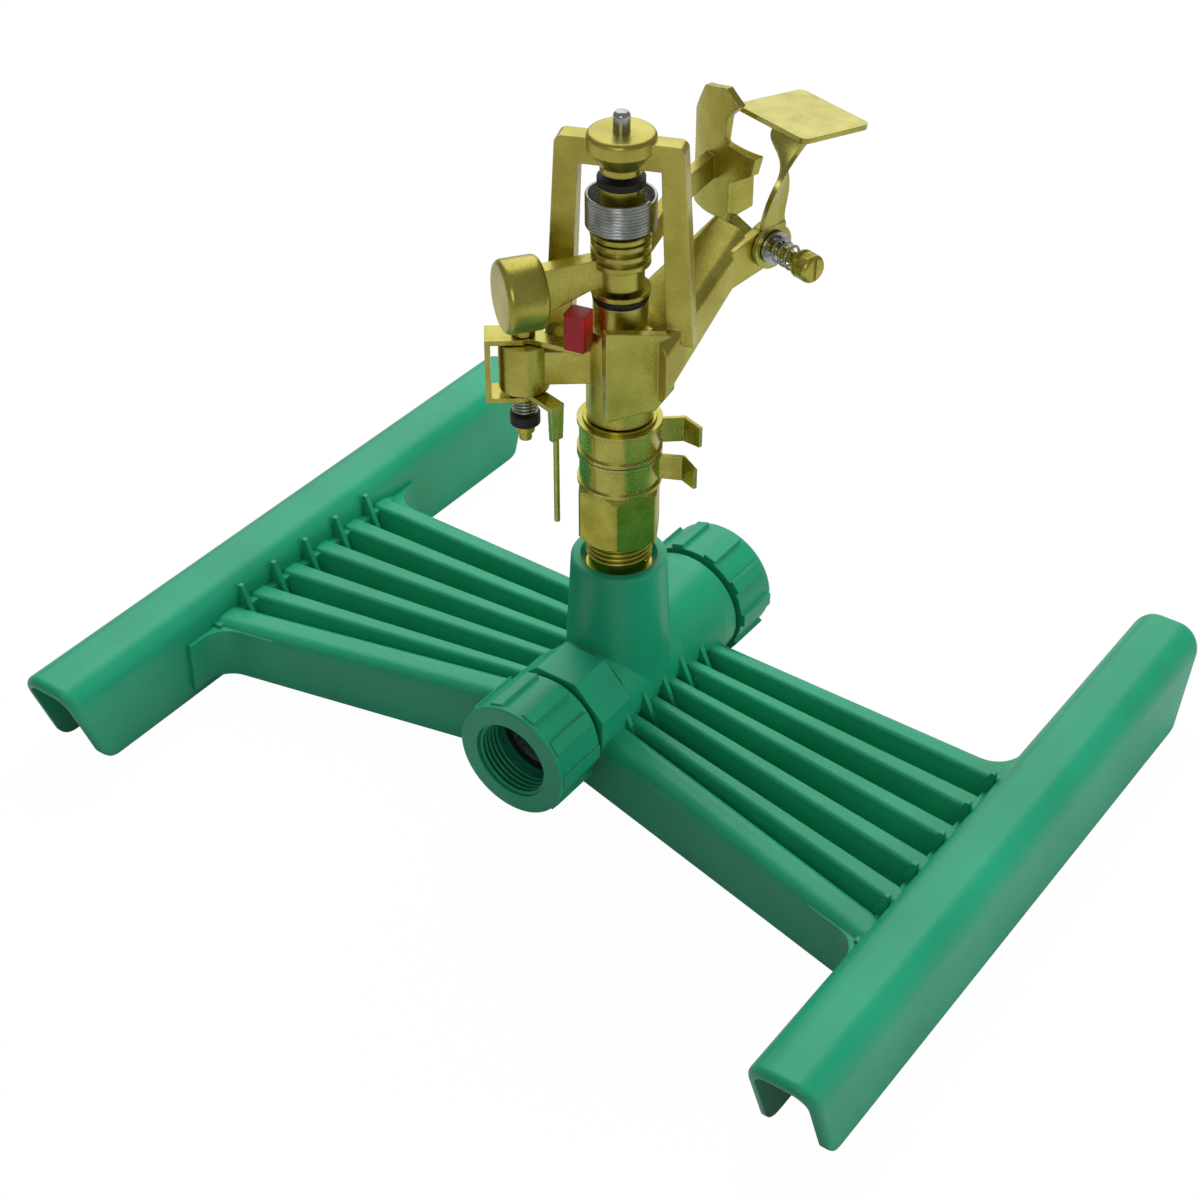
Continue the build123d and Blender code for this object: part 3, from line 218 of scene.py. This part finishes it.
def armSpringCoils():
    bm = bmesh.new()
    wire = armSpring["wireRadius"] * mm
    profile = []
    for index in range(armSpring["wireSides"]):
        angle = 2 * math.pi * index / armSpring["wireSides"]
        profile.append((armSpring["radius"] * mm + wire * math.cos(angle), 0,
                        armSpring["bottom"] * mm + wire * math.sin(angle)))
    helixSolid(bm, profile, (0, 0, 0), (0, 0, 1), armSpring["pitch"] * mm, armSpring["turns"],
               armSpring["stepsPerTurn"])
    newPiece("armSpringCoils", bm, "head", "drawnSteel", ["arm_spring"])


# hose nut: the first turns of its moulded thread, inside the mouth, in millimetres;
# its roots sit a little inside the wall, and flank is half a root's width for each pitch
hoseThread = {"radius": 13.22, "rootInWall": 0.15, "depth": 1.1, "halfCrest": 0.15, "flank": 0.42,
              "pitch": 1.814, "start": -57.0, "height": 28.0, "turns": 5, "stepsPerTurn": 48}


def hoseThreadRidge():
    bm = bmesh.new()
    outer = hoseThread["radius"] + hoseThread["rootInWall"]
    tip = hoseThread["radius"] - hoseThread["depth"]
    half = hoseThread["pitch"] * hoseThread["flank"]
    crest = hoseThread["halfCrest"]
    y = hoseThread["start"]
    z = hoseThread["height"]
    profile = [(outer * mm, (y - half) * mm, z * mm), (tip * mm, (y - crest) * mm, z * mm),
               (tip * mm, (y + crest) * mm, z * mm), (outer * mm, (y + half) * mm, z * mm)]
    helixSolid(bm, profile, (0, 0, z * mm), (0, 1, 0), hoseThread["pitch"] * mm,
               hoseThread["turns"], hoseThread["stepsPerTurn"])
    newPiece("hoseThreadRidge", bm, "nut", "mouldedPolypropylene")


# nipple: the turns of thread that stand out of the riser boss, in millimetres
riserThread = {"root": 9.45, "crest": 10.4, "halfCrest": 0.2, "flank": 0.44, "pitch": 1.814,
               "start": 74.6, "turns": 3.6, "stepsPerTurn": 48}


def riserThreadRidge():
    bm = bmesh.new()
    half = riserThread["pitch"] * riserThread["flank"]
    flat = riserThread["halfCrest"]
    z = riserThread["start"]
    root = riserThread["root"]
    crest = riserThread["crest"]
    profile = [(root * mm, 0, (z - half) * mm), (crest * mm, 0, (z - flat) * mm),
               (crest * mm, 0, (z + flat) * mm), (root * mm, 0, (z + half) * mm)]
    helixSolid(bm, profile, (0, 0, 0), (0, 0, 1), riserThread["pitch"] * mm,
               riserThread["turns"], riserThread["stepsPerTurn"])
    newPiece("riserThreadRidge", bm, "base", "turnedBrass")


# inlet filter: woven wires laid over its dome, coarser than real so that they show
filterGauze = {"radiusMm": 10.0, "sphereMm": 27.1, "frontMm": -46.45, "heightMm": 28.0,
               "meshes": 22, "wireMm": 0.32}


def filterGauzeDome():
    bm = bmesh.new()
    radius = (filterGauze["radiusMm"] - filterGauze["wireMm"]) * mm
    meshes = filterGauze["meshes"]
    bmesh.ops.create_grid(bm, x_segments=meshes, y_segments=meshes, size=radius)
    outside = [v for v in bm.verts if v.co.length > radius]
    bmesh.ops.delete(bm, geom=outside, context="VERTS")
    sphere = filterGauze["sphereMm"] * mm
    for vert in bm.verts:
        across, up = vert.co.x, vert.co.y
        back = sphere - math.sqrt(sphere ** 2 - across ** 2 - up ** 2)
        vert.co = Vector((across, filterGauze["frontMm"] * mm + back,
                          up + filterGauze["heightMm"] * mm))
    bmesh.ops.wireframe(bm, faces=bm.faces[:], thickness=filterGauze["wireMm"] * mm,
                        use_replace=True, use_boundary=True, use_even_offset=False)
    newPiece("filterGauzeDome", bm, "base", "drawnSteel")


armSpringCoils()
hoseThreadRidge()
riserThreadRidge()
filterGauzeDome()
print("wire, threads and gauze made")


# floor and background: white to the eye, faint in mirrors, plain matt for the light
studio = {"floorSize": 6.0, "floorColour": "#C4C4C4", "floorWhite": 1.03,
          "floorSeen": 0.95, "floorMirror": 0.1,  # share of that white for the eye and for mirrors
          "worldSeen": 1.0, "worldMirror": 0.22, "worldLight": 0.18}


def makeFloor():
    bm = bmesh.new()
    bmesh.ops.create_grid(bm, x_segments=1, y_segments=1, size=studio["floorSize"] / 2)
    mesh = bpy.data.meshes.new("floor")
    bm.to_mesh(mesh)
    bm.free()
    floor = bpy.data.objects.new("floor", mesh)
    bpy.context.scene.collection.objects.link(floor)
    material = bpy.data.materials.new("matteFloor")
    material.use_nodes = True
    tree = material.node_tree
    tree.nodes.clear()
    path = addNode(tree, "LightPath")
    mirror = addNode(tree, "MapRange", {"To Max": studio["floorMirror"]},
                     {"Value": path.outputs["Is Glossy Ray"]})
    share = addNode(tree, "MapRange", {"To Max": studio["floorSeen"]},
                    {"Value": path.outputs["Is Camera Ray"], "To Min": mirror.outputs["Result"]})
    matte = addNode(tree, "BsdfDiffuse", {"Color": hexColour(studio["floorColour"])})
    white = addNode(tree, "Emission", {"Color": (1, 1, 1, 1), "Strength": studio["floorWhite"]})
    mixed = addNode(tree, "MixShader", None,
                    {0: share.outputs[0], 1: matte.outputs[0], 2: white.outputs[0]})
    addNode(tree, "OutputMaterial", None, {"Surface": mixed.outputs[0]})
    mesh.materials.append(material)


def makeWorld():
    world = bpy.data.worlds.new("studio")
    bpy.context.scene.world = world
    world.use_nodes = True
    tree = world.node_tree
    tree.nodes.clear()
    path = addNode(tree, "LightPath")
    seen = addNode(tree, "Math", {"operation": "MAXIMUM"},
                   {0: path.outputs["Is Camera Ray"], 1: path.outputs["Is Transmission Ray"]})
    unseen = addNode(tree, "MapRange", {
        "To Min": studio["worldLight"], "To Max": studio["worldMirror"]},
        {"Value": path.outputs["Is Glossy Ray"]})
    strength = addNode(tree, "MapRange", {"To Max": studio["worldSeen"]},
                       {"Value": seen.outputs[0], "To Min": unseen.outputs["Result"]})
    light = addNode(tree, "Background", {"Color": (1, 1, 1, 1)},
                    {"Strength": strength.outputs["Result"]})
    addNode(tree, "OutputWorld", None, {"Surface": light.outputs[0]})


# soft boxes: place and size in metres, power in watts, and whether the brass mirrors them;
# all of them look at a point over the hub
softBoxAim = (0, 0, 0.08)
softBoxes = {
    "key": {"at": (-0.66, 0.94, 1.05), "size": 1.7, "power": 9.0, "mirrored": True},
    "top": {"at": (-0.35, 0.55, 1.5), "size": 1.0, "power": 14, "mirrored": False},
    "side": {"at": (1.4, 0.4, 0.45), "size": 0.7, "power": 8, "mirrored": False},
    "front": {"at": (0.5, -1.2, 0.8), "size": 0.6, "power": 1.8, "mirrored": True},
}


def makeSoftBox(name, box):
    light = bpy.data.lights.new(name, "AREA")
    light.shape = "SQUARE"
    light.size = box["size"]
    light.energy = box["power"]
    lamp = bpy.data.objects.new(name, light)
    bpy.context.scene.collection.objects.link(lamp)
    lamp.location = box["at"]
    lamp.visible_glossy = box["mirrored"]
    aim = Vector(softBoxAim) - Vector(box["at"])
    lamp.rotation_mode = "QUATERNION"
    lamp.rotation_quaternion = aim.to_track_quat("-Z", "Y")


# camera fitted to the photo: orbit in degrees and metres, and the small turn off centre
viewpoint = {"azimuth": 35.17, "elevation": 38.87, "distance": 0.74715, "aimHeight": 0.03696,
             "turn": 0.59, "tilt": -1.08, "lens": 69.0, "sensor": 36, "near": 0.02, "far": 20}


def lookDirection(azimuth, elevation):
    a, e = math.radians(azimuth), math.radians(elevation)
    return Vector((-math.sin(a) * math.cos(e), math.cos(a) * math.cos(e), -math.sin(e)))


def makeCamera():
    camera = bpy.data.objects.new("camera", bpy.data.cameras.new("camera"))
    bpy.context.scene.collection.objects.link(camera)
    camera.data.sensor_width = viewpoint["sensor"]
    camera.data.lens = viewpoint["lens"]
    camera.data.clip_start = viewpoint["near"]
    camera.data.clip_end = viewpoint["far"]
    orbit = lookDirection(viewpoint["azimuth"], viewpoint["elevation"])
    camera.location = Vector((0, 0, viewpoint["aimHeight"])) - orbit * viewpoint["distance"]
    look = lookDirection(viewpoint["azimuth"] + viewpoint["turn"],
                         viewpoint["elevation"] + viewpoint["tilt"])
    camera.rotation_mode = "QUATERNION"
    camera.rotation_quaternion = look.to_track_quat("-Z", "Y")
    bpy.context.scene.camera = camera


makeFloor()
makeWorld()
for name, box in softBoxes.items():
    makeSoftBox(name, box)
makeCamera()
bpy.context.scene.view_settings.view_transform = "Standard"
print("floor, light and camera set")
